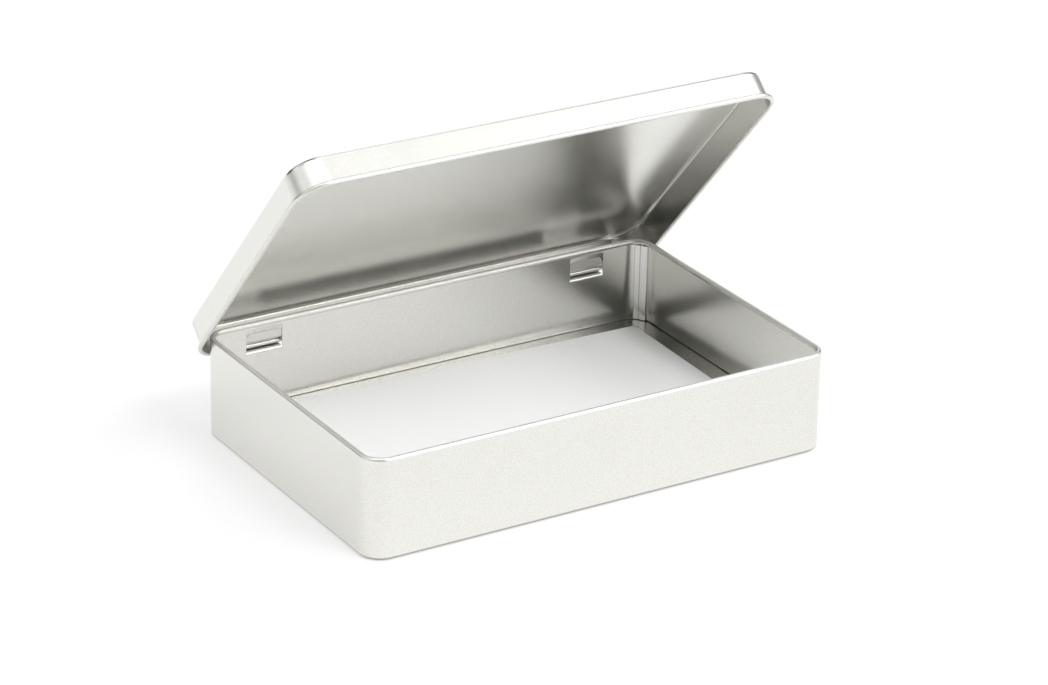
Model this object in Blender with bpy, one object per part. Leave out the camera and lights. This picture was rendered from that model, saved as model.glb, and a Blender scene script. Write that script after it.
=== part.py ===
"""Hinged tin box: a tinplate wall, a raised floor pan, a lid on two wrapped-tongue hinges, and a card inside.

Units in the constants are millimetres, written to the scene in metres. +Z is up, the tin's front faces -Y
and its long side runs along X. The lid is shown open.
"""

import math

import bmesh
import bpy
from mathutils import Matrix, Vector

MM = 0.001

# Body
LENGTH = 190.0
WIDTH = 124.8
HEIGHT = 38.55
CORNER = 8.5
SHEET = 0.3
BODY_Y = -4.74
RIM_RADIUS = 1.05
RIM_TURN = 275
EDGE_RADIUS = 1.1
RING_INNER = 2.0
HEM_RADIUS = 0.5
HEM_TOP = 2.0

# Floor pan, pushed in from below
FLOOR_TOP = 5.0
PAN_INSET = 0.6
PAN_EDGE = 0.6
PAN_FOOT = 0.9

# Lock seam inside the rear right corner. Each point of its outline has the angle on the corner in degrees and
# the thickness over the seam's bed, a plane that faces SEAM_FACES at SEAM_BED from the corner's centre, or None
# where it meets the sheet
SEAM = (
    (20.5, None), (21.5, 0.55), (36.0, 0.55), (37.0, 0.05),
    (43.0, 0.05), (44.0, 0.3), (58.0, 0.3), (59.0, None),
)
SEAM_FACES = 40.0
SEAM_BED = 7.75
SEAM_TOP_GAP = 2.5
SEAM_FOOT = FLOOR_TOP + 0.3
SEAM_RAMP = 0.1
CRUMPLE = 0.22
CRUMPLE_FROM = 20.0
CRUMPLE_TO = 54.0

# Lid
LID_LENGTH = 194.4
LID_CORNER = 11.0
LID_DEPTH = 12.2
LID_EDGE = 1.6
BEAD_RADIUS = 0.92
BEAD_TURN = 295
LID_FRONT_GAP = 0.7
OPEN_DEG = 48.6

# Hinges: windows in the rear wall and tongues lanced out of them
AXIS_BEHIND = 2.1
AXIS_BELOW_TOP = 10.72
HINGE_X = 69.6
WINDOW_WIDTH = 14.9
WINDOW_TOP = 35.4
WINDOW_FOOT = 25.3
WINDOW_CORNER = 1.3
TONGUE_WIDTH = 14.4
LOOP_RADIUS = 1.5
LOOP_LIFT = 0.1
ROOT_BEND = 1.1
TAIL_BEHIND = 0.35
TAIL_BEND = 1.4
TAIL_TOP = 33.4
TAIL_CORNER = 2.0
SLOT_WIDTH = 15.2
SLOT_FROM = 0.05
SLOT_TO = 2.5

# Card lying on the floor
CARD_LENGTH = 172.0
CARD_WIDTH = 110.0
CARD_SHEET = 0.3
CARD_LIFT = 0.2
CARD_CORNER = (87.25, 54.25)
CARD_TURN_DEG = -1.5

AXIS_Y = WIDTH / 2 + AXIS_BEHIND
AXIS_Z = HEIGHT - AXIS_BELOW_TOP
BEAD_CENTRE = BEAD_RADIUS - SHEET
BODY_STEPS = 9
LID_STEPS = 12


def clear_scene():
    for obj in list(bpy.data.objects):
        bpy.data.objects.remove(obj, do_unlink=True)


def arc(centre, radius, start, end, steps):
    """Points on an arc of the sheet's section, angles in degrees from outwards, turning up."""
    points = []
    for i in range(steps + 1):
        angle = math.radians(start + (end - start) * i / steps)
        points.append((centre[0] + radius * math.cos(angle), centre[1] + radius * math.sin(angle)))
    return points


def even(start, end, steps):
    return [start + (end - start) * i / steps for i in range(steps + 1)]


def columns(x_range, y_range, radius, steps, rear_right=None):
    """(centre x, centre y, radius, angle) round a rounded rectangle, from the middle of its right side."""
    corners = (
        (x_range[1] - radius, y_range[1] - radius, 0),
        (x_range[0] + radius, y_range[1] - radius, 90),
        (x_range[0] + radius, y_range[0] + radius, 180),
        (x_range[1] - radius, y_range[0] + radius, 270),
    )
    found = []
    for x, y, start in corners:
        angles = even(start, start + 90, steps)
        if start == 0 and rear_right:
            angles = rear_right
        found += [(x, y, radius, angle) for angle in angles]
    return found


def place(column, offset, height):
    x, y, radius, angle = column
    turn = math.radians(angle)
    return Vector((x + (radius + offset) * math.cos(turn), y + (radius + offset) * math.sin(turn), height))


def sweep(bm, ring, section, ends_meet, shape=place):
    """Carries the section, a list of (offset, height), round the ring, and caps ends that don't meet."""
    rows = [[bm.verts.new(shape(column, *point)) for point in section] for column in ring]
    last = len(section) if ends_meet else len(section) - 1
    for i, row in enumerate(rows):
        after = rows[(i + 1) % len(rows)]
        for j in range(last):
            k = (j + 1) % len(section)
            bm.faces.new((row[j], row[k], after[k], after[j]))
    if not ends_meet:
        bm.faces.new([row[0] for row in rows])
        bm.faces.new([row[-1] for row in rows])


def strip_height(angle, thickness):
    """How far a flat strip of this thickness over the seam's bed stands off the inside of the corner."""
    if thickness is None:
        return 0.0
    return CORNER - SHEET - (SEAM_BED - thickness) / math.cos(math.radians(angle - SEAM_FACES))


def seam_height(angle):
    """How far the folded seam stands off the inside of the corner. Its strips are flat and face one way."""
    for (left, start), (right, end) in zip(SEAM, SEAM[1:]):
        if left <= angle <= right and start == end:
            return strip_height(angle, start)
        if left <= angle <= right:
            share = (angle - left) / (right - left)
            return (1 - share) * strip_height(left, start) + share * strip_height(right, end)
    return 0.0


def crumple(angle):
    """How far the rim's curl bulges, in three lumps, where it passes over the seam."""
    share = (angle - CRUMPLE_FROM) / (CRUMPLE_TO - CRUMPLE_FROM)
    lumps = 0.7 + 0.3 * math.cos(4 * math.pi * share)
    return CRUMPLE * lumps * math.sin(math.pi * share) if 0 < share < 1 else 0.0


def wall_place(column, offset, height):
    """Places a point of the wall's section, with the seam and the lumps over it in the rear right corner."""
    angle = column[3]
    if 0 <= angle <= 90:
        if abs(offset + SHEET) < 1e-6 and SEAM_FOOT <= height <= HEIGHT - SEAM_TOP_GAP:
            offset -= seam_height(angle)
        if height > HEIGHT - 2 * RIM_RADIUS - 0.01 and offset < -RIM_RADIUS:
            offset -= crumple(angle)
    return place(column, offset, height)


def wall_section():
    """Round the sheet: up the outside, the curled rim, down the inside, then the hem under the floor pan."""
    curl = (-RIM_RADIUS, HEIGHT - RIM_RADIUS)
    corner = (-EDGE_RADIUS, EDGE_RADIUS)
    turn = (-RING_INNER, HEM_RADIUS)
    hem = RING_INNER + HEM_RADIUS
    section = arc(curl, RIM_RADIUS, 0, RIM_TURN, 11)
    section += arc(curl, RIM_RADIUS - SHEET, RIM_TURN, 0, 11)
    section += [
        (-SHEET, HEIGHT - SEAM_TOP_GAP + SEAM_RAMP),
        (-SHEET, HEIGHT - SEAM_TOP_GAP),
        (-SHEET, SEAM_FOOT),
        (-SHEET, SEAM_FOOT - SEAM_RAMP),
    ]
    section += arc(corner, EDGE_RADIUS - SHEET, 0, -90, 4)
    section += arc(turn, HEM_RADIUS - SHEET, -90, -180, 2)
    section += [(SHEET - hem, HEM_TOP), (-hem, HEM_TOP)]
    section += arc(turn, HEM_RADIUS, -180, -90, 3)
    section += arc(corner, EDGE_RADIUS, -90, 0, 5)
    return section


def seam_angles():
    """Angles of the rear right corner: an even spread, with one on each edge of the seam."""
    edges = [angle for angle, _ in SEAM]
    spread = [angle for angle in even(0, 90, BODY_STEPS) if all(abs(angle - edge) > 2 for edge in edges)]
    return sorted(edges + spread)


def lid_section():
    """From the middle of the outside over the edge, down the skirt, round the bead and back inside."""
    top = HEIGHT - AXIS_BELOW_TOP + LID_DEPTH - BEAD_RADIUS
    edge = (-LID_EDGE, top - LID_EDGE)
    bead = (BEAD_CENTRE, AXIS_Z)
    section = arc(edge, LID_EDGE, 90, 0, 5)
    section += arc(bead, BEAD_RADIUS - SHEET, 180, 180 + BEAD_TURN, 11)
    section += arc(bead, BEAD_RADIUS, 180 + BEAD_TURN, 180, 11)
    section += arc(edge, LID_EDGE - SHEET, 0, 90, 5)
    return section


def pan_section():
    """From the middle of the floor over its edge and down the flange, and back along the underside."""
    edge = (-PAN_INSET - PAN_EDGE, FLOOR_TOP - PAN_EDGE)
    section = arc(edge, PAN_EDGE, 90, 0, 4)
    section += [(-PAN_INSET, PAN_FOOT), (-PAN_INSET - SHEET, PAN_FOOT)]
    section += arc(edge, PAN_EDGE - SHEET, 0, 90, 4)
    return section


def tongue_path():
    """(y, z, half width) along the middle of the tongue's sheet, y and z from the hinge axis.

    It rises in the wall's plane, bends out under the bead, turns round behind it and over it, and its tail
    stands up flat behind the window.
    """
    wall = -AXIS_BEHIND - SHEET / 2
    tail = -AXIS_BEHIND + TAIL_BEHIND
    half = TONGUE_WIDTH / 2
    low, high = LOOP_LIFT - LOOP_RADIUS, LOOP_LIFT + LOOP_RADIUS
    path = [(wall, WINDOW_FOOT - 0.7 - AXIS_Z)]
    path += [(wall + ROOT_BEND - y, z) for y, z in arc((0, low - ROOT_BEND), ROOT_BEND, 0, 90, 5)]
    path += arc((0, LOOP_LIFT), LOOP_RADIUS, -90, 90, 12)
    path += [(tail + TAIL_BEND - y, z) for y, z in arc((0, high + TAIL_BEND), TAIL_BEND, -90, 0, 5)]
    path = [(y, z, half) for y, z in path]
    top = TAIL_TOP - AXIS_Z
    for angle in even(0, 90, 5):
        turn = math.radians(angle)
        across = half - TAIL_CORNER * (1 - math.cos(turn))
        path.append((tail, top - TAIL_CORNER * (1 - math.sin(turn)), across))
    return path


def add_tongue(bm, x):
    """A strip of sheet along the path, a little thinner where it starts inside the wall."""
    path = tongue_path()
    rows = []
    for i, (y, z, half) in enumerate(path):
        before = path[max(i - 1, 0)]
        after = path[min(i + 1, len(path) - 1)]
        along = Vector((0, after[0] - before[0], after[1] - before[1])).normalized()
        side = Vector((0, -along.z, along.y)) * (SHEET / 2 - (0.02 if i == 0 else 0.0))
        middle = Vector((x, AXIS_Y + y, AXIS_Z + z))
        left, right = middle - Vector((half, 0, 0)), middle + Vector((half, 0, 0))
        corners = (left - side, right - side, right + side, left + side)
        rows.append([bm.verts.new(corner) for corner in corners])
    for row, after in zip(rows, rows[1:]):
        for j in range(4):
            k = (j + 1) % 4
            bm.faces.new((row[j], row[k], after[k], after[j]))
    bm.faces.new(rows[0])
    bm.faces.new(rows[-1])


def add_plate(bm, outline, y_from, y_to):
    """A plate whose outline, a list of (x, z), stands in the XZ plane."""
    near = [bm.verts.new((x, y_from, z)) for x, z in outline]
    far = [bm.verts.new((x, y_to, z)) for x, z in outline]
    bm.faces.new(near)
    bm.faces.new(far)
    for i in range(len(outline)):
        k = (i + 1) % len(outline)
        bm.faces.new((near[i], near[k], far[k], far[i]))


def window_outline(x):
    """The window, square at the foot and rounded at the top."""
    half = WINDOW_WIDTH / 2
    top = WINDOW_TOP - WINDOW_CORNER
    outline = [(x - half, WINDOW_FOOT), (x + half, WINDOW_FOOT)]
    outline += arc((x + half - WINDOW_CORNER, top), WINDOW_CORNER, 0, 90, 5)
    outline += arc((x - half + WINDOW_CORNER, top), WINDOW_CORNER, 90, 180, 5)
    return outline


def slot_outline(x):
    half = SLOT_WIDTH / 2
    low, high = AXIS_Z + SLOT_FROM, AXIS_Z + SLOT_TO
    return [(x - half, low), (x + half, low), (x + half, high), (x - half, high)]


def finish(name, bm, material, smooth=True):
    """Makes the object, faces outwards, scaled to metres and smooth except at its edges."""
    bmesh.ops.recalc_face_normals(bm, faces=bm.faces)
    bmesh.ops.scale(bm, vec=(MM, MM, MM), verts=bm.verts)
    mesh = bpy.data.meshes.new(name)
    bm.to_mesh(mesh)
    bm.free()
    obj = bpy.data.objects.new(name, mesh)
    bpy.context.scene.collection.objects.link(obj)
    if material:
        mesh.materials.append(material)
    if smooth:
        mesh.shade_smooth()
        mesh.set_sharp_from_angle(angle=math.radians(35))
    return obj


def cutter(name, bm):
    obj = finish(name, bm, None, smooth=False)
    obj.hide_render = True
    obj.display_type = "WIRE"
    return obj


def boolean(obj, other, operation):
    modifier = obj.modifiers.new(other.name, "BOOLEAN")
    modifier.operation = operation
    modifier.solver = "EXACT"
    modifier.object = other


def tin_material(name, colour, roughness):
    material = bpy.data.materials.new(name)
    material.use_nodes = True
    shader = material.node_tree.nodes["Principled BSDF"]
    shader.inputs["Base Color"].default_value = (*colour, 1)
    shader.inputs["Metallic"].default_value = 1
    shader.inputs["Roughness"].default_value = roughness
    return material


def card_material():
    material = bpy.data.materials.new("card_paper")
    material.use_nodes = True
    shader = material.node_tree.nodes["Principled BSDF"]
    shader.inputs["Base Color"].default_value = (0.86, 0.86, 0.87, 1)
    shader.inputs["Roughness"].default_value = 0.8
    return material


def make_wall():
    ring = columns((-LENGTH / 2, LENGTH / 2), (-WIDTH / 2, WIDTH / 2), CORNER, BODY_STEPS, seam_angles())
    bm = bmesh.new()
    sweep(bm, ring, wall_section(), True, wall_place)
    wall = finish("wall", bm, tin_material("wall_tinplate", (0.78, 0.78, 0.76), 0.38))
    for side, x in (("left", -HINGE_X), ("right", HINGE_X)):
        bm = bmesh.new()
        add_plate(bm, window_outline(x), WIDTH / 2 - 1, WIDTH / 2 + 1)
        boolean(wall, cutter("window_" + side, bm), "DIFFERENCE")
        bm = bmesh.new()
        add_tongue(bm, x)
        boolean(wall, cutter("tongue_" + side, bm), "UNION")
    return wall


def make_floor():
    ring = columns((-LENGTH / 2, LENGTH / 2), (-WIDTH / 2, WIDTH / 2), CORNER, BODY_STEPS)
    bm = bmesh.new()
    sweep(bm, ring, pan_section(), False)
    return finish("floor", bm, tin_material("floor_tinplate", (0.78, 0.78, 0.76), 0.4))


def make_lid():
    rear = AXIS_Y - BEAD_CENTRE
    front = -WIDTH / 2 - LID_FRONT_GAP - SHEET
    ring = columns((-LID_LENGTH / 2, LID_LENGTH / 2), (front, rear), LID_CORNER, LID_STEPS)
    bm = bmesh.new()
    sweep(bm, ring, lid_section(), False)
    lid = finish("lid", bm, tin_material("lid_tinplate", (0.8, 0.8, 0.78), 0.36))
    for side, x in (("left", -HINGE_X), ("right", HINGE_X)):
        bm = bmesh.new()
        add_plate(bm, slot_outline(x), rear - SHEET - 0.4, rear + 0.12)
        slot = cutter("slot_" + side, bm)
        boolean(lid, slot, "DIFFERENCE")
        slot.parent = lid
    return lid


def make_card():
    bm = bmesh.new()
    bmesh.ops.create_cube(bm, size=1)
    bmesh.ops.scale(bm, vec=(CARD_LENGTH, CARD_WIDTH, CARD_SHEET), verts=bm.verts)
    bmesh.ops.translate(bm, vec=(-CARD_LENGTH / 2, -CARD_WIDTH / 2, CARD_SHEET / 2), verts=bm.verts)
    bmesh.ops.rotate(bm, matrix=Matrix.Rotation(math.radians(CARD_TURN_DEG), 3, "Z"), verts=bm.verts)
    bmesh.ops.translate(bm, vec=(*CARD_CORNER, FLOOR_TOP + CARD_LIFT), verts=bm.verts)
    return finish("card", bm, card_material(), smooth=False)


def open_lid(lid):
    """Turns the lid about the hinge axis, which its origin lies on."""
    axis = Vector((0, AXIS_Y * MM, AXIS_Z * MM))
    for obj in [lid] + list(lid.children):
        obj.data.transform(Matrix.Translation(-axis))
    lid.location = axis
    lid.rotation_euler = (math.radians(-OPEN_DEG), 0, 0)


def main():
    clear_scene()
    make_wall()
    make_floor()
    make_card()
    open_lid(make_lid())
    for obj in bpy.context.scene.objects:
        if obj.parent is None:
            obj.location.y += BODY_Y * MM


main()
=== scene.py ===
import math

import bmesh
import bpy
from mathutils import Matrix, Vector


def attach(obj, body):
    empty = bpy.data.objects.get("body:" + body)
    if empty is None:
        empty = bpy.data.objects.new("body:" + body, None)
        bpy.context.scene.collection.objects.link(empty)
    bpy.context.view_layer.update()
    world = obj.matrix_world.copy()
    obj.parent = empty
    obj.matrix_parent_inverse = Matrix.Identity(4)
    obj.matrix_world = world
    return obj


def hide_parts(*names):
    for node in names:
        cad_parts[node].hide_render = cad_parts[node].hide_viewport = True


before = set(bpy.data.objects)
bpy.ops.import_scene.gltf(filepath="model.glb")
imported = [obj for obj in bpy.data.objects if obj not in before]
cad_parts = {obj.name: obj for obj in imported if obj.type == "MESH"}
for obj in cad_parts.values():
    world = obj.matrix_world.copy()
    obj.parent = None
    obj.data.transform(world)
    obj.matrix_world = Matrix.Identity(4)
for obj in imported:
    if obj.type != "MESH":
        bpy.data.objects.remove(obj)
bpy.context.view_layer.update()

MM = 0.001

# Body, in millimetres
LENGTH = 190.0
WIDTH = 124.8
HEIGHT = 38.55
CORNER = 8.5
SHEET = 0.3
BODY_Y = -4.74
RIM_RADIUS = 1.05
RIM_TURN = 275
EDGE_RADIUS = 1.1
RING_INNER = 2.0
HEM_RADIUS = 0.5
HEM_TOP = 2.0

# Floor pan
FLOOR_TOP = 5.0
PAN_INSET = 0.6
PAN_EDGE = 0.6
PAN_FOOT = 0.9

# Lock seam inside the rear right corner. Each point of its outline has the angle on the corner in degrees and
# the thickness over the seam's bed, or None where it meets the sheet. The bed is a plane that faces
# SEAM_FACES at SEAM_BED from the corner's centre
SEAM = (
    (20.5, None), (21.5, 0.55), (36.0, 0.55), (37.0, 0.05),
    (43.0, 0.05), (44.0, 0.3), (58.0, 0.3), (59.0, None),
)
SEAM_FACES = 40.0
SEAM_BED = 7.75
SEAM_TOP_GAP = 2.5
SEAM_FOOT = FLOOR_TOP + 0.3
SEAM_RAMP = 0.1

# Lumps of the rim's curl over the seam: how high, how much of that is even and how much comes and goes, and
# between which angles on the corner
CRUMPLE = 0.22
CRUMPLE_EVEN = 0.7
CRUMPLE_LUMPY = 0.3
CRUMPLE_FROM = 20.0
CRUMPLE_TO = 54.0

# Lid
LID_LENGTH = 194.4
LID_CORNER = 11.0
LID_DEPTH = 12.2
LID_EDGE = 1.6
BEAD_RADIUS = 0.92
BEAD_TURN = 295
LID_FRONT_GAP = 0.7
OPEN_DEG = 48.6

# Hinges: windows in the rear wall, tongues lanced out of them and slots in the lid's rear skirt. The tongue's
# root starts inside the wall, below the window, and is a little thinner there
AXIS_BEHIND = 2.1
AXIS_BELOW_TOP = 10.72
HINGE_X = 69.6
WINDOW_WIDTH = 14.9
WINDOW_TOP = 35.4
WINDOW_FOOT = 25.3
WINDOW_CORNER = 1.3
WINDOW_CUT = 1
TONGUE_WIDTH = 14.4
LOOP_RADIUS = 1.5
LOOP_LIFT = 0.1
ROOT_BELOW = 0.7
ROOT_THINNER = 0.02
ROOT_BEND = 1.1
TAIL_BEHIND = 0.35
TAIL_BEND = 1.4
TAIL_TOP = 33.4
TAIL_CORNER = 2.0
SLOT_WIDTH = 15.2
SLOT_FROM = 0.05
SLOT_TO = 2.5
SLOT_CUT_IN = 0.4
SLOT_CUT_OUT = 0.12

# Card lying on the floor
CARD_LENGTH = 172.0
CARD_WIDTH = 110.0
CARD_SHEET = 0.3
CARD_LIFT = 0.2
CARD_CORNER = (87.25, 54.25)
CARD_TURN_DEG = -1.5

# Camera: a long lens from the front left, a little above. The clip distances are in metres
LENS = 137.3
SENSOR = 36.0
CLIP_NEAR = 0.05
CLIP_FAR = 50
CAMERA_TARGET = (18.415, 23.913 + BODY_Y, 25.0)
CAMERA_DISTANCE = 1475.43
CAMERA_AZIMUTH = -31.871
CAMERA_ELEVATION = 24.019
CAMERA_ROLL = 1.202

# Studio: softboxes as (azimuth from +X towards +Y, elevation, half width, half height, brightness), with the
# angles in degrees
SOFTBOXES = (
    (292, 49, 15, 11, 10.2),
    (337, 30, 15, 8, 8.2),
    (322, 16, 15, 6, 2.13),
    (292, 5, 15, 5, 3.6),
    (292, 24, 15, 14, 0.84),
    (352, 49, 15, 11, 1.34),
    (322, 49, 15, 11, 1.34),
    (127, 49, 30, 11, 0.78),
    (202, 49, 15, 11, 2.35),
    (232, 49, 15, 11, 0.67),
    (172, 24, 15, 14, 1.46),
    (202, 24, 15, 14, 0.56),
    (127, 29, 30, 9, 0.97),
    (52, 30, 15, 24, 1.25),
    (22, 75, 45, 15, 1.9),
    (112, 75, 45, 15, 1.1),
    (202, 75, 45, 15, 2.46),
)
SOFT_EDGE = 8.0
ROOM_LIGHT = 0.01

# Table: glow, colours and roughness, half its side in metres, and how far below the tin it lies
TABLE_GLOW = 0.57
TABLE_DARK = (0.39, 0.39, 0.39)
TABLE_LIGHT = (0.41, 0.41, 0.41)
TABLE_ROUGHNESS = 0.9
TABLE_MOTTLE_SCALE = 30
TABLE_HALF = 4.0
TABLE_BELOW = 0.2

# Tinplate. The grain mixes the two colours, with noise spread over its range, and is relief on the slow waves
# of the sheet. Scales are in cycles per metre and depths in millimetres
TIN_DARK = (0.71, 0.706, 0.673)
TIN_LIGHT = (0.83, 0.825, 0.787)
GRAIN_SCALE = 1800
GRAIN_RANGE = (-0.4, 1.4)
GRAIN_STRENGTH = 0.15
GRAIN_DEPTH = 0.03
WAVE_SCALE = 25
WAVE_DEPTH = 0.12
TIN_ROUGHNESS = 0.22
FLOOR_ROUGHER = 0.03
WORKED_ROUGHER = 0.18
PATCH_SCALE = 60
PATCH_RANGE = (-0.03, 0.04)
# Painted shade: the colour that crevices, gaps and joints darken towards, how close another surface must be,
# the spread of the darkening and its samples
CREVICE_SHADE_COLOUR = (0.32, 0.31, 0.28)
CREVICE_DEPTH = 0.7
CREVICE_RANGE = (0.15, 0.85)
CREVICE_SAMPLES = 8
# Painted shade: the colour of a dark line along the bottom edge, in place of the table's contact shadow seen
# in reflection, and its height in millimetres
FOOT_SHADE_COLOUR = (0.3, 0.285, 0.245)
FOOT_LINE = 0.6

# Card's paper
CARD_DARK = (0.93, 0.93, 0.932)
CARD_LIGHT = (0.97, 0.97, 0.972)
CARD_ROUGHNESS = 0.75
FIBRE_SCALE = 900
FIBRE_STRENGTH = 0.2
FIBRE_DEPTH = 0.03

AXIS_Y = WIDTH / 2 + AXIS_BEHIND
AXIS_Z = HEIGHT - AXIS_BELOW_TOP
BEAD_CENTRE = BEAD_RADIUS - SHEET
LID_TOP = AXIS_Z + LID_DEPTH - BEAD_RADIUS
LID_DEEP = (-WIDTH / 2 - LID_FRONT_GAP - SHEET, AXIS_Y - BEAD_CENTRE)

# Steps of the corners seen from above, of the tail's round corners, and of the arcs of the sections, which
# get SECTION_FINER times as many. At the seam, the even spread keeps SPREAD_CLEAR degrees from its edges
BODY_STEPS = 24
LID_STEPS = 28
CURL_STEPS = 11
BEND_STEPS = 5
EDGE_INSIDE_STEPS = 4
HEM_STEPS = 3
HEM_INSIDE_STEPS = 2
PAN_STEPS = 4
LOOP_STEPS = 12
TAIL_STEPS = 10
SECTION_FINER = 2
SPREAD_CLEAR = 1

# Smooth shading: the angle at which an edge is sharp, and how much large faces lead
SHARP_DEG = 35
AREA_WEIGHT = 100

# How close counts as on a line, and how far off a flat sheet counts as bent out of it
NEAR = 0.01
OFF_SHEET = 0.05


def arc(centre, radius, start, end, steps):
    """Points on an arc of the sheet's section, angles in degrees from outwards, turning up."""
    points = []
    steps *= SECTION_FINER
    for i in range(steps + 1):
        angle = math.radians(start + (end - start) * i / steps)
        points.append((centre[0] + radius * math.cos(angle), centre[1] + radius * math.sin(angle)))
    return points


def even(start, end, steps):
    """Values from start to end in equal steps."""
    return [start + (end - start) * i / steps for i in range(steps + 1)]


def columns(x_range, y_range, radius, steps, rear_right=None):
    """(centre x, centre y, radius, angle) round a rounded rectangle, from the middle of its right side."""
    corners = (
        (x_range[1] - radius, y_range[1] - radius, 0),
        (x_range[0] + radius, y_range[1] - radius, 90),
        (x_range[0] + radius, y_range[0] + radius, 180),
        (x_range[1] - radius, y_range[0] + radius, 270),
    )
    found = []
    for x, y, start in corners:
        angles = even(start, start + 90, steps)
        if start == 0 and rear_right:
            angles = rear_right
        found += [(x, y, radius, angle) for angle in angles]
    return found


def place(column, offset, height):
    """The point of a section at this offset outwards and height, on this column."""
    x, y, radius, angle = column
    turn = math.radians(angle)
    return Vector((x + (radius + offset) * math.cos(turn), y + (radius + offset) * math.sin(turn), height))


def sweep(bm, ring, section, ends_meet, shape=place):
    """Carries the section, a list of (offset, height), round the ring, and caps ends that don't meet."""
    rows = [[bm.verts.new(shape(column, *point)) for point in section] for column in ring]
    last = len(section) if ends_meet else len(section) - 1
    for i, row in enumerate(rows):
        after = rows[(i + 1) % len(rows)]
        for j in range(last):
            k = (j + 1) % len(section)
            bm.faces.new((row[j], row[k], after[k], after[j]))
    if not ends_meet:
        bm.faces.new([row[0] for row in rows])
        bm.faces.new([row[-1] for row in rows])


def strip_height(angle, thickness):
    """How far a flat strip of this thickness over the seam's bed stands off the inside of the corner."""
    if thickness is None:
        return 0.0
    return CORNER - SHEET - (SEAM_BED - thickness) / math.cos(math.radians(angle - SEAM_FACES))


def seam_height(angle):
    """How far the folded seam stands off the inside of the corner. Its strips are flat and face one way."""
    for (left, start), (right, end) in zip(SEAM, SEAM[1:]):
        if left <= angle <= right and start == end:
            return strip_height(angle, start)
        if left <= angle <= right:
            share = (angle - left) / (right - left)
            return (1 - share) * strip_height(left, start) + share * strip_height(right, end)
    return 0.0


def crumple(angle):
    """How far the rim's curl bulges, in three lumps, where it passes over the seam."""
    share = (angle - CRUMPLE_FROM) / (CRUMPLE_TO - CRUMPLE_FROM)
    lumps = CRUMPLE_EVEN + CRUMPLE_LUMPY * math.cos(4 * math.pi * share)
    return CRUMPLE * lumps * math.sin(math.pi * share) if 0 < share < 1 else 0.0


def wall_place(column, offset, height):
    """Places a point of the wall's section, with the seam and the lumps over it in the rear right corner."""
    angle = column[3]
    if 0 <= angle <= 90:
        if abs(offset + SHEET) < NEAR and SEAM_FOOT <= height <= HEIGHT - SEAM_TOP_GAP:
            offset -= seam_height(angle)
        if height > HEIGHT - 2 * RIM_RADIUS - NEAR and offset < -RIM_RADIUS:
            offset -= crumple(angle)
    return place(column, offset, height)


def wall_section():
    """Round the sheet: up the outside, the curled rim, down the inside, then the hem under the floor pan."""
    curl = (-RIM_RADIUS, HEIGHT - RIM_RADIUS)
    corner = (-EDGE_RADIUS, EDGE_RADIUS)
    turn = (-RING_INNER, HEM_RADIUS)
    hem = RING_INNER + HEM_RADIUS
    section = arc(curl, RIM_RADIUS, 0, RIM_TURN, CURL_STEPS)
    section += arc(curl, RIM_RADIUS - SHEET, RIM_TURN, 0, CURL_STEPS)
    section += [
        (-SHEET, HEIGHT - SEAM_TOP_GAP + SEAM_RAMP),
        (-SHEET, HEIGHT - SEAM_TOP_GAP),
        (-SHEET, SEAM_FOOT),
        (-SHEET, SEAM_FOOT - SEAM_RAMP),
    ]
    section += arc(corner, EDGE_RADIUS - SHEET, 0, -90, EDGE_INSIDE_STEPS)
    section += arc(turn, HEM_RADIUS - SHEET, -90, -180, HEM_INSIDE_STEPS)
    section += [(SHEET - hem, HEM_TOP), (-hem, HEM_TOP)]
    section += arc(turn, HEM_RADIUS, -180, -90, HEM_STEPS)
    section += arc(corner, EDGE_RADIUS, -90, 0, BEND_STEPS)
    return section


def seam_angles():
    """Angles of the rear right corner: an even spread, with one on each edge of the seam."""
    edges = [angle for angle, _ in SEAM]
    spread = even(0, 90, BODY_STEPS)
    clear = [angle for angle in spread if all(abs(angle - edge) > SPREAD_CLEAR for edge in edges)]
    return sorted(edges + clear)


def lid_section():
    """From the middle of the outside over the edge, down the skirt, round the bead and back inside."""
    edge = (-LID_EDGE, LID_TOP - LID_EDGE)
    bead = (BEAD_CENTRE, AXIS_Z)
    section = arc(edge, LID_EDGE, 90, 0, BEND_STEPS)
    section += arc(bead, BEAD_RADIUS - SHEET, 180, 180 + BEAD_TURN, CURL_STEPS)
    section += arc(bead, BEAD_RADIUS, 180 + BEAD_TURN, 180, CURL_STEPS)
    section += arc(edge, LID_EDGE - SHEET, 0, 90, BEND_STEPS)
    return section


def pan_section():
    """From the middle of the floor over its edge and down the flange, and back along the underside."""
    edge = (-PAN_INSET - PAN_EDGE, FLOOR_TOP - PAN_EDGE)
    section = arc(edge, PAN_EDGE, 90, 0, PAN_STEPS)
    section += [(-PAN_INSET, PAN_FOOT), (-PAN_INSET - SHEET, PAN_FOOT)]
    section += arc(edge, PAN_EDGE - SHEET, 0, 90, PAN_STEPS)
    return section


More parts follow.
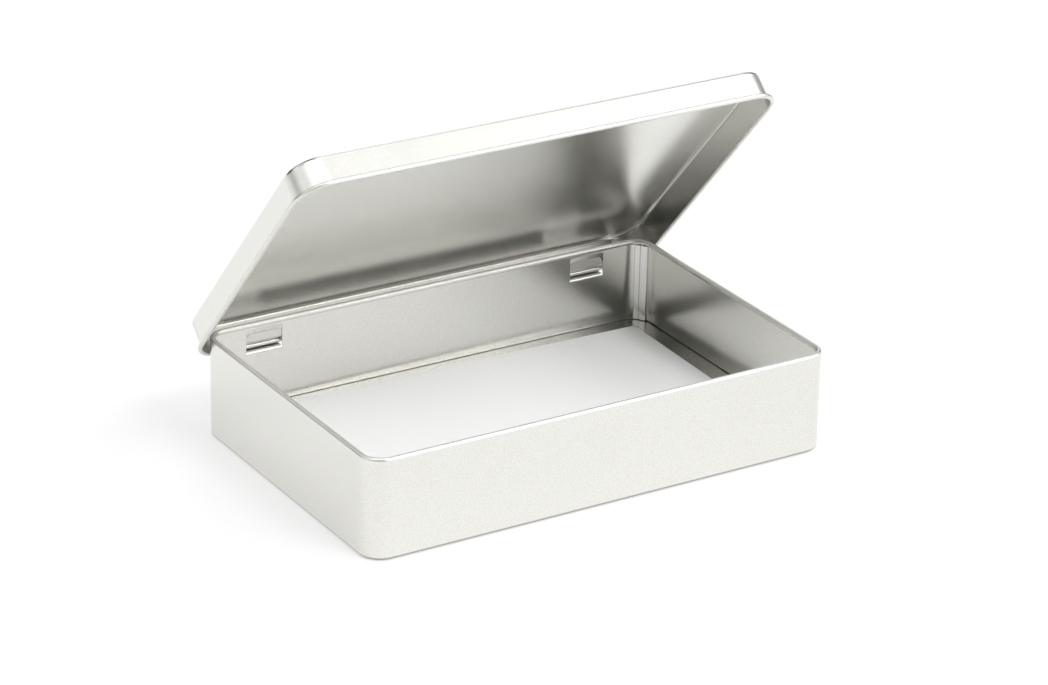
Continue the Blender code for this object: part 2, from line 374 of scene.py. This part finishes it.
def tongue_path():
    """(y, z, half width) along the middle of the tongue's sheet, y and z from the hinge axis.

    It rises in the wall's plane, bends out under the bead, turns round behind it and over it, and its tail
    stands up flat behind the window.
    """
    wall = -AXIS_BEHIND - SHEET / 2
    tail = -AXIS_BEHIND + TAIL_BEHIND
    half = TONGUE_WIDTH / 2
    low, high = LOOP_LIFT - LOOP_RADIUS, LOOP_LIFT + LOOP_RADIUS
    path = [(wall, WINDOW_FOOT - ROOT_BELOW - AXIS_Z)]
    root = arc((0, low - ROOT_BEND), ROOT_BEND, 0, 90, BEND_STEPS)
    path += [(wall + ROOT_BEND - y, z) for y, z in root]
    path += arc((0, LOOP_LIFT), LOOP_RADIUS, -90, 90, LOOP_STEPS)
    rise = arc((0, high + TAIL_BEND), TAIL_BEND, -90, 0, BEND_STEPS)
    path += [(tail + TAIL_BEND - y, z) for y, z in rise]
    path = [(y, z, half) for y, z in path]
    top = TAIL_TOP - AXIS_Z
    for angle in even(0, 90, TAIL_STEPS):
        turn = math.radians(angle)
        across = half - TAIL_CORNER * (1 - math.cos(turn))
        path.append((tail, top - TAIL_CORNER * (1 - math.sin(turn)), across))
    return path


def add_tongue(bm, x):
    """A strip of sheet along the path, a little thinner where it starts inside the wall."""
    path = tongue_path()
    rows = []
    for i, (y, z, half) in enumerate(path):
        before = path[max(i - 1, 0)]
        after = path[min(i + 1, len(path) - 1)]
        along = Vector((0, after[0] - before[0], after[1] - before[1])).normalized()
        side = Vector((0, -along.z, along.y)) * (SHEET / 2 - (ROOT_THINNER if i == 0 else 0.0))
        middle = Vector((x, AXIS_Y + y, AXIS_Z + z))
        left, right = middle - Vector((half, 0, 0)), middle + Vector((half, 0, 0))
        corners = (left - side, right - side, right + side, left + side)
        rows.append([bm.verts.new(corner) for corner in corners])
    for row, after in zip(rows, rows[1:]):
        for j in range(4):
            k = (j + 1) % 4
            bm.faces.new((row[j], row[k], after[k], after[j]))
    bm.faces.new(rows[0])
    bm.faces.new(rows[-1])


def add_plate(bm, outline, y_from, y_to):
    """A plate whose outline, a list of (x, z), stands in the XZ plane."""
    near = [bm.verts.new((x, y_from, z)) for x, z in outline]
    far = [bm.verts.new((x, y_to, z)) for x, z in outline]
    bm.faces.new(near)
    bm.faces.new(far)
    for i in range(len(outline)):
        k = (i + 1) % len(outline)
        bm.faces.new((near[i], near[k], far[k], far[i]))


def window_outline(x):
    """The window, square at the foot and rounded at the top."""
    half = WINDOW_WIDTH / 2
    top = WINDOW_TOP - WINDOW_CORNER
    outline = [(x - half, WINDOW_FOOT), (x + half, WINDOW_FOOT)]
    outline += arc((x + half - WINDOW_CORNER, top), WINDOW_CORNER, 0, 90, BEND_STEPS)
    outline += arc((x - half + WINDOW_CORNER, top), WINDOW_CORNER, 90, 180, BEND_STEPS)
    return outline


def slot_outline(x):
    """The slot, a rectangle just above the hinge axis on the shut lid."""
    half = SLOT_WIDTH / 2
    low, high = AXIS_Z + SLOT_FROM, AXIS_Z + SLOT_TO
    return [(x - half, low), (x + half, low), (x + half, high), (x - half, high)]


def to_object(name, bm):
    """Makes the object, faces outwards, in its place and scaled to metres."""
    bmesh.ops.recalc_face_normals(bm, faces=bm.faces)
    bmesh.ops.translate(bm, vec=(0, BODY_Y, 0), verts=bm.verts)
    bmesh.ops.scale(bm, vec=(MM, MM, MM), verts=bm.verts)
    mesh = bpy.data.meshes.new(name)
    bm.to_mesh(mesh)
    bm.free()
    obj = bpy.data.objects.new(name, mesh)
    bpy.context.scene.collection.objects.link(obj)
    return obj


def boolean(obj, other, operation):
    """Joins the other object to this one or cuts it out, and deletes the other."""
    modifier = obj.modifiers.new(other.name, "BOOLEAN")
    modifier.operation = operation
    modifier.solver = "EXACT"
    modifier.object = other
    bpy.context.view_layer.update()
    graph = bpy.context.evaluated_depsgraph_get()
    mesh = bpy.data.meshes.new_from_object(obj.evaluated_get(graph))
    obj.modifiers.clear()
    obj.data = mesh
    bpy.data.objects.remove(other)


def soften(obj):
    """Smooth shading that leaves flat faces flat."""
    obj.data.shade_smooth()
    obj.data.set_sharp_from_angle(angle=math.radians(SHARP_DEG))
    modifier = obj.modifiers.new("normals", "WEIGHTED_NORMAL")
    modifier.mode = "FACE_AREA"
    modifier.weight = AREA_WEIGHT
    modifier.keep_sharp = True


def beyond(x, y, x_half, y_range, radius):
    """How far a point is outside a rectangle with round corners, and how far it is into a corner."""
    across = abs(x) - x_half + radius
    along = abs(y - sum(y_range) / 2) - (y_range[1] - y_range[0]) / 2 + radius
    outside = math.hypot(max(across, 0), max(along, 0)) + min(max(across, along), 0) - radius
    return outside, min(across, along)


def mark_worked(obj, worked):
    """Stores 1 on the points of curls, tongues and drawn corners, which are rougher, and 0 elsewhere."""
    values = obj.data.attributes.new("worked", "FLOAT", "POINT").data
    for vertex, value in zip(obj.data.vertices, values):
        x, y, z = vertex.co / MM
        value.value = 1.0 if worked(x, y - BODY_Y, z) else 0.0


def worked_wall(x, y, z):
    """Whether a point of the wall is on its rim's curl or on a tongue."""
    outside, _ = beyond(x, y, LENGTH / 2, (-WIDTH / 2, WIDTH / 2), CORNER)
    return z > HEIGHT - RIM_RADIUS + NEAR or outside > OFF_SHEET


def worked_lid(x, y, z):
    """Whether a point of the shut lid is on its bead or on a drawn corner of its skirt."""
    outside, into_corner = beyond(x, y, LID_LENGTH / 2, LID_DEEP, LID_CORNER)
    on_skirt = z < LID_TOP - LID_EDGE + OFF_SHEET
    return outside > OFF_SHEET or z < AXIS_Z - OFF_SHEET or (into_corner > NEAR and on_skirt)


def make_wall():
    ring = columns((-LENGTH / 2, LENGTH / 2), (-WIDTH / 2, WIDTH / 2), CORNER, BODY_STEPS, seam_angles())
    bm = bmesh.new()
    sweep(bm, ring, wall_section(), True, wall_place)
    wall = to_object("wall_sheet", bm)
    for x in (-HINGE_X, HINGE_X):
        bm = bmesh.new()
        add_plate(bm, window_outline(x), WIDTH / 2 - WINDOW_CUT, WIDTH / 2 + WINDOW_CUT)
        boolean(wall, to_object("window", bm), "DIFFERENCE")
        bm = bmesh.new()
        add_tongue(bm, x)
        boolean(wall, to_object("tongue", bm), "UNION")
    mark_worked(wall, worked_wall)
    soften(wall)
    return wall


def make_floor():
    ring = columns((-LENGTH / 2, LENGTH / 2), (-WIDTH / 2, WIDTH / 2), CORNER, BODY_STEPS)
    bm = bmesh.new()
    sweep(bm, ring, pan_section(), False)
    obj = to_object("floor_pan", bm)
    soften(obj)
    return obj


def make_lid():
    """The lid, made shut and then turned open about the hinge axis."""
    rear = LID_DEEP[1]
    ring = columns((-LID_LENGTH / 2, LID_LENGTH / 2), LID_DEEP, LID_CORNER, LID_STEPS)
    bm = bmesh.new()
    sweep(bm, ring, lid_section(), False)
    lid = to_object("lid_sheet", bm)
    for x in (-HINGE_X, HINGE_X):
        bm = bmesh.new()
        add_plate(bm, slot_outline(x), rear - SHEET - SLOT_CUT_IN, rear + SLOT_CUT_OUT)
        boolean(lid, to_object("slot", bm), "DIFFERENCE")
    mark_worked(lid, worked_lid)
    axis = Vector((0, (AXIS_Y + BODY_Y) * MM, AXIS_Z * MM))
    turn = Matrix.Rotation(math.radians(-OPEN_DEG), 4, "X")
    lid.data.transform(Matrix.Translation(axis) @ turn @ Matrix.Translation(-axis))
    soften(lid)
    return lid


def make_card():
    """The card, made with its rear right corner at the origin, turned there and moved to its place."""
    bm = bmesh.new()
    bmesh.ops.create_cube(bm, size=1)
    bmesh.ops.scale(bm, vec=(CARD_LENGTH, CARD_WIDTH, CARD_SHEET), verts=bm.verts)
    bmesh.ops.translate(bm, vec=(-CARD_LENGTH / 2, -CARD_WIDTH / 2, CARD_SHEET / 2), verts=bm.verts)
    bmesh.ops.rotate(bm, matrix=Matrix.Rotation(math.radians(CARD_TURN_DEG), 3, "Z"), verts=bm.verts)
    bmesh.ops.translate(bm, vec=(*CARD_CORNER, FLOOR_TOP + CARD_LIFT), verts=bm.verts)
    return to_object("card_sheet", bm)


def principled(name):
    """A new material, its node tree and its shader."""
    material = bpy.data.materials.new(name)
    material.use_nodes = True
    tree = material.node_tree
    return material, tree, tree.nodes["Principled BSDF"]


def noise(tree, scale, detail):
    """Noise in object space, scale in cycles per metre."""
    coordinates = tree.nodes.new("ShaderNodeTexCoord")
    texture = tree.nodes.new("ShaderNodeTexNoise")
    texture.inputs["Scale"].default_value = scale
    texture.inputs["Detail"].default_value = detail
    tree.links.new(coordinates.outputs["Object"], texture.inputs["Vector"])
    return texture.outputs["Fac"]


def ranged(tree, value, low, high):
    """0 to 1 spread over low to high."""
    node = tree.nodes.new("ShaderNodeMapRange")
    node.inputs["To Min"].default_value = low
    node.inputs["To Max"].default_value = high
    tree.links.new(value, node.inputs["Value"])
    return node.outputs["Result"]


def calculate(tree, operation, *values):
    """A Math node of linked values and numbers."""
    node = tree.nodes.new("ShaderNodeMath")
    node.operation = operation
    for socket, value in zip(node.inputs, values):
        if isinstance(value, (int, float)):
            socket.default_value = value
        else:
            tree.links.new(value, socket)
    return node.outputs[0]


def bump(tree, height, strength, depth, under=None):
    """The height as relief, depth in millimetres, on top of the relief under it."""
    node = tree.nodes.new("ShaderNodeBump")
    node.inputs["Strength"].default_value = strength
    node.inputs["Distance"].default_value = depth * MM
    tree.links.new(height, node.inputs["Height"])
    if under:
        tree.links.new(under, node.inputs["Normal"])
    return node.outputs["Normal"]


def painted_crevice_shade(tree):
    """Painted shade: 1 on open metal, falling towards 0 where another surface is closer than the crevice
    depth, so gaps, joints and crevices come out dark as if in shadow.
    """
    node = tree.nodes.new("ShaderNodeAmbientOcclusion")
    node.samples = CREVICE_SAMPLES
    node.inputs["Distance"].default_value = CREVICE_DEPTH * MM
    share = tree.nodes.new("ShaderNodeMapRange")
    share.inputs["From Min"].default_value = CREVICE_RANGE[0]
    share.inputs["From Max"].default_value = CREVICE_RANGE[1]
    tree.links.new(node.outputs["AO"], share.inputs["Value"])
    return share.outputs["Result"]


def mixed(tree, share, first, second):
    """Colour between the two by the share. Each is a colour or a linked value."""
    node = tree.nodes.new("ShaderNodeMixRGB")
    tree.links.new(share, node.inputs["Fac"])
    for socket, colour in (("Color1", first), ("Color2", second)):
        if isinstance(colour, tuple):
            node.inputs[socket].default_value = (*colour, 1)
        else:
            tree.links.new(colour, node.inputs[socket])
    return node.outputs["Color"]


def painted_foot_shade(tree):
    """Painted shade: 0 along the bottom edge of the tin, standing in for the table's contact shadow seen in
    reflection there, and 1 above it.
    """
    coordinates = tree.nodes.new("ShaderNodeTexCoord")
    split = tree.nodes.new("ShaderNodeSeparateXYZ")
    tree.links.new(coordinates.outputs["Object"], split.inputs["Vector"])
    node = tree.nodes.new("ShaderNodeMapRange")
    node.inputs["From Min"].default_value = FOOT_LINE * MM
    node.inputs["From Max"].default_value = 2 * FOOT_LINE * MM
    tree.links.new(split.outputs["Z"], node.inputs["Value"])
    return node.outputs["Result"]


def tin(name, roughness=TIN_ROUGHNESS, foot=False):
    """Matt tinplate: a fine speckled grain, slow waves of the sheet, and painted shade, darker in crevices
    and, when foot is set, along the bottom edge.
    """
    material, tree, shader = principled(name)
    speckle = noise(tree, GRAIN_SCALE, 2)
    colour = mixed(tree, ranged(tree, speckle, *GRAIN_RANGE), TIN_DARK, TIN_LIGHT)
    # Painted shade: darker where other surfaces stand close, in crevices, gaps and joints
    colour = mixed(tree, painted_crevice_shade(tree), CREVICE_SHADE_COLOUR, colour)
    # Painted shade: a dark line along the bottom edge for the reflected contact shadow of the table
    if foot:
        colour = mixed(tree, painted_foot_shade(tree), FOOT_SHADE_COLOUR, colour)
    tree.links.new(colour, shader.inputs["Base Color"])
    shader.inputs["Metallic"].default_value = 1
    worked = tree.nodes.new("ShaderNodeAttribute")
    worked.attribute_name = "worked"
    patches = noise(tree, PATCH_SCALE, 4)
    patchy = ranged(tree, patches, roughness + PATCH_RANGE[0], roughness + PATCH_RANGE[1])
    rough = calculate(tree, "MULTIPLY_ADD", worked.outputs["Fac"], WORKED_ROUGHER, patchy)
    tree.links.new(rough, shader.inputs["Roughness"])
    waves = bump(tree, noise(tree, WAVE_SCALE, 1), 1.0, WAVE_DEPTH)
    tree.links.new(bump(tree, speckle, GRAIN_STRENGTH, GRAIN_DEPTH, waves), shader.inputs["Normal"])
    return material


def card_paper():
    """Plain white paper board with faint fibres."""
    material, tree, shader = principled("card_paper")
    shader.inputs["Roughness"].default_value = CARD_ROUGHNESS
    fibres = noise(tree, FIBRE_SCALE, 4)
    tree.links.new(mixed(tree, fibres, CARD_DARK, CARD_LIGHT), shader.inputs["Base Color"])
    tree.links.new(bump(tree, fibres, FIBRE_STRENGTH, FIBRE_DEPTH), shader.inputs["Normal"])
    return material


def stage_floor():
    """A white table, lit a little from below as a light table is, so that shadows stay faint."""
    material, tree, shader = principled("sweep")
    shader.inputs["Roughness"].default_value = TABLE_ROUGHNESS
    shader.inputs["Emission Color"].default_value = (1, 1, 1, 1)
    shader.inputs["Emission Strength"].default_value = TABLE_GLOW
    mottle = noise(tree, TABLE_MOTTLE_SCALE, 2)
    tree.links.new(mixed(tree, mottle, TABLE_DARK, TABLE_LIGHT), shader.inputs["Base Color"])
    mesh = bpy.data.meshes.new("sweep")
    half = TABLE_HALF
    corners = [(-half, -half, 0), (half, -half, 0), (half, half, 0), (-half, half, 0)]
    mesh.from_pydata(corners, [], [(0, 1, 2, 3)])
    mesh.materials.append(material)
    obj = bpy.data.objects.new("sweep", mesh)
    obj.location.z = -TABLE_BELOW * MM
    bpy.context.scene.collection.objects.link(obj)


def within(tree, distance, half):
    """1 nearer than half, 0 beyond it, with a soft edge."""
    node = tree.nodes.new("ShaderNodeMapRange")
    node.interpolation_type = "SMOOTHSTEP"
    node.inputs["From Min"].default_value = half + SOFT_EDGE
    node.inputs["From Max"].default_value = half - SOFT_EDGE
    tree.links.new(distance, node.inputs["Value"])
    return node.outputs["Result"]


def lights():
    """A dark studio with softboxes round the table, each a soft-edged patch of the world."""
    world = bpy.data.worlds.new("studio")
    world.use_nodes = True
    tree = world.node_tree
    background = tree.nodes["Background"]
    background.inputs["Color"].default_value = (1, 1, 1, 1)
    coordinates = tree.nodes.new("ShaderNodeTexCoord")
    split = tree.nodes.new("ShaderNodeSeparateXYZ")
    tree.links.new(coordinates.outputs["Generated"], split.inputs["Vector"])
    degrees = 180 / math.pi
    bearing = calculate(tree, "ARCTAN2", split.outputs["Y"], split.outputs["X"])
    azimuth = calculate(tree, "MULTIPLY", bearing, degrees)
    elevation = calculate(tree, "MULTIPLY", calculate(tree, "ARCSINE", split.outputs["Z"]), degrees)
    total = ROOM_LIGHT
    for towards, up, half_width, half_height, brightness in SOFTBOXES:
        across = calculate(tree, "WRAP", calculate(tree, "SUBTRACT", azimuth, towards), 180, -180)
        above = calculate(tree, "SUBTRACT", elevation, up)
        patch = calculate(
            tree,
            "MULTIPLY",
            within(tree, calculate(tree, "ABSOLUTE", across), half_width),
            within(tree, calculate(tree, "ABSOLUTE", above), half_height),
        )
        total = calculate(tree, "MULTIPLY_ADD", patch, brightness, total)
        total.node.name = total.node.label = f"softbox_{towards}_{up}"
    tree.links.new(total, background.inputs["Strength"])
    bpy.context.scene.world = world


def camera():
    """A camera that looks at the target from the set azimuth, elevation and distance, rolled a little."""
    data = bpy.data.cameras.new("camera")
    data.lens = LENS
    data.sensor_width = SENSOR
    data.clip_start = CLIP_NEAR
    data.clip_end = CLIP_FAR
    obj = bpy.data.objects.new("camera", data)
    azimuth, elevation = math.radians(CAMERA_AZIMUTH), math.radians(CAMERA_ELEVATION)
    roll = math.radians(CAMERA_ROLL)
    level = math.cos(elevation)
    ahead = Vector((-math.sin(azimuth) * level, math.cos(azimuth) * level, -math.sin(elevation)))
    right = ahead.cross(Vector((0, 0, 1))).normalized()
    up = right.cross(ahead)
    right, up = math.cos(roll) * right + math.sin(roll) * up, -math.sin(roll) * right + math.cos(roll) * up
    place_m = (Vector(CAMERA_TARGET) - ahead * CAMERA_DISTANCE) * MM
    turn = Matrix((right, up, -ahead)).transposed()
    obj.matrix_world = Matrix.Translation(place_m) @ turn.to_4x4()
    bpy.context.scene.collection.objects.link(obj)
    bpy.context.scene.camera = obj


def main():
    scene = bpy.context.scene
    scene.view_settings.view_transform = "Standard"
    scene.view_settings.look = "None"
    pieces = (
        (make_wall(), "base", "wall", "wall_tinplate", tin("wall_tin", foot=True)),
        (make_floor(), "base", "floor", "floor_tinplate", tin("floor_tin", TIN_ROUGHNESS + FLOOR_ROUGHER)),
        (make_lid(), "lid", "lid", "lid_tinplate", tin("lid_tin")),
        (make_card(), "base", "card", "card_paper", card_paper()),
    )
    for piece, body, node, slot, material in pieces:
        piece.data.materials.clear()
        piece.data.materials.append(material)
        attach(piece, body)
        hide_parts(node)
    stage_floor()
    lights()
    camera()


main()
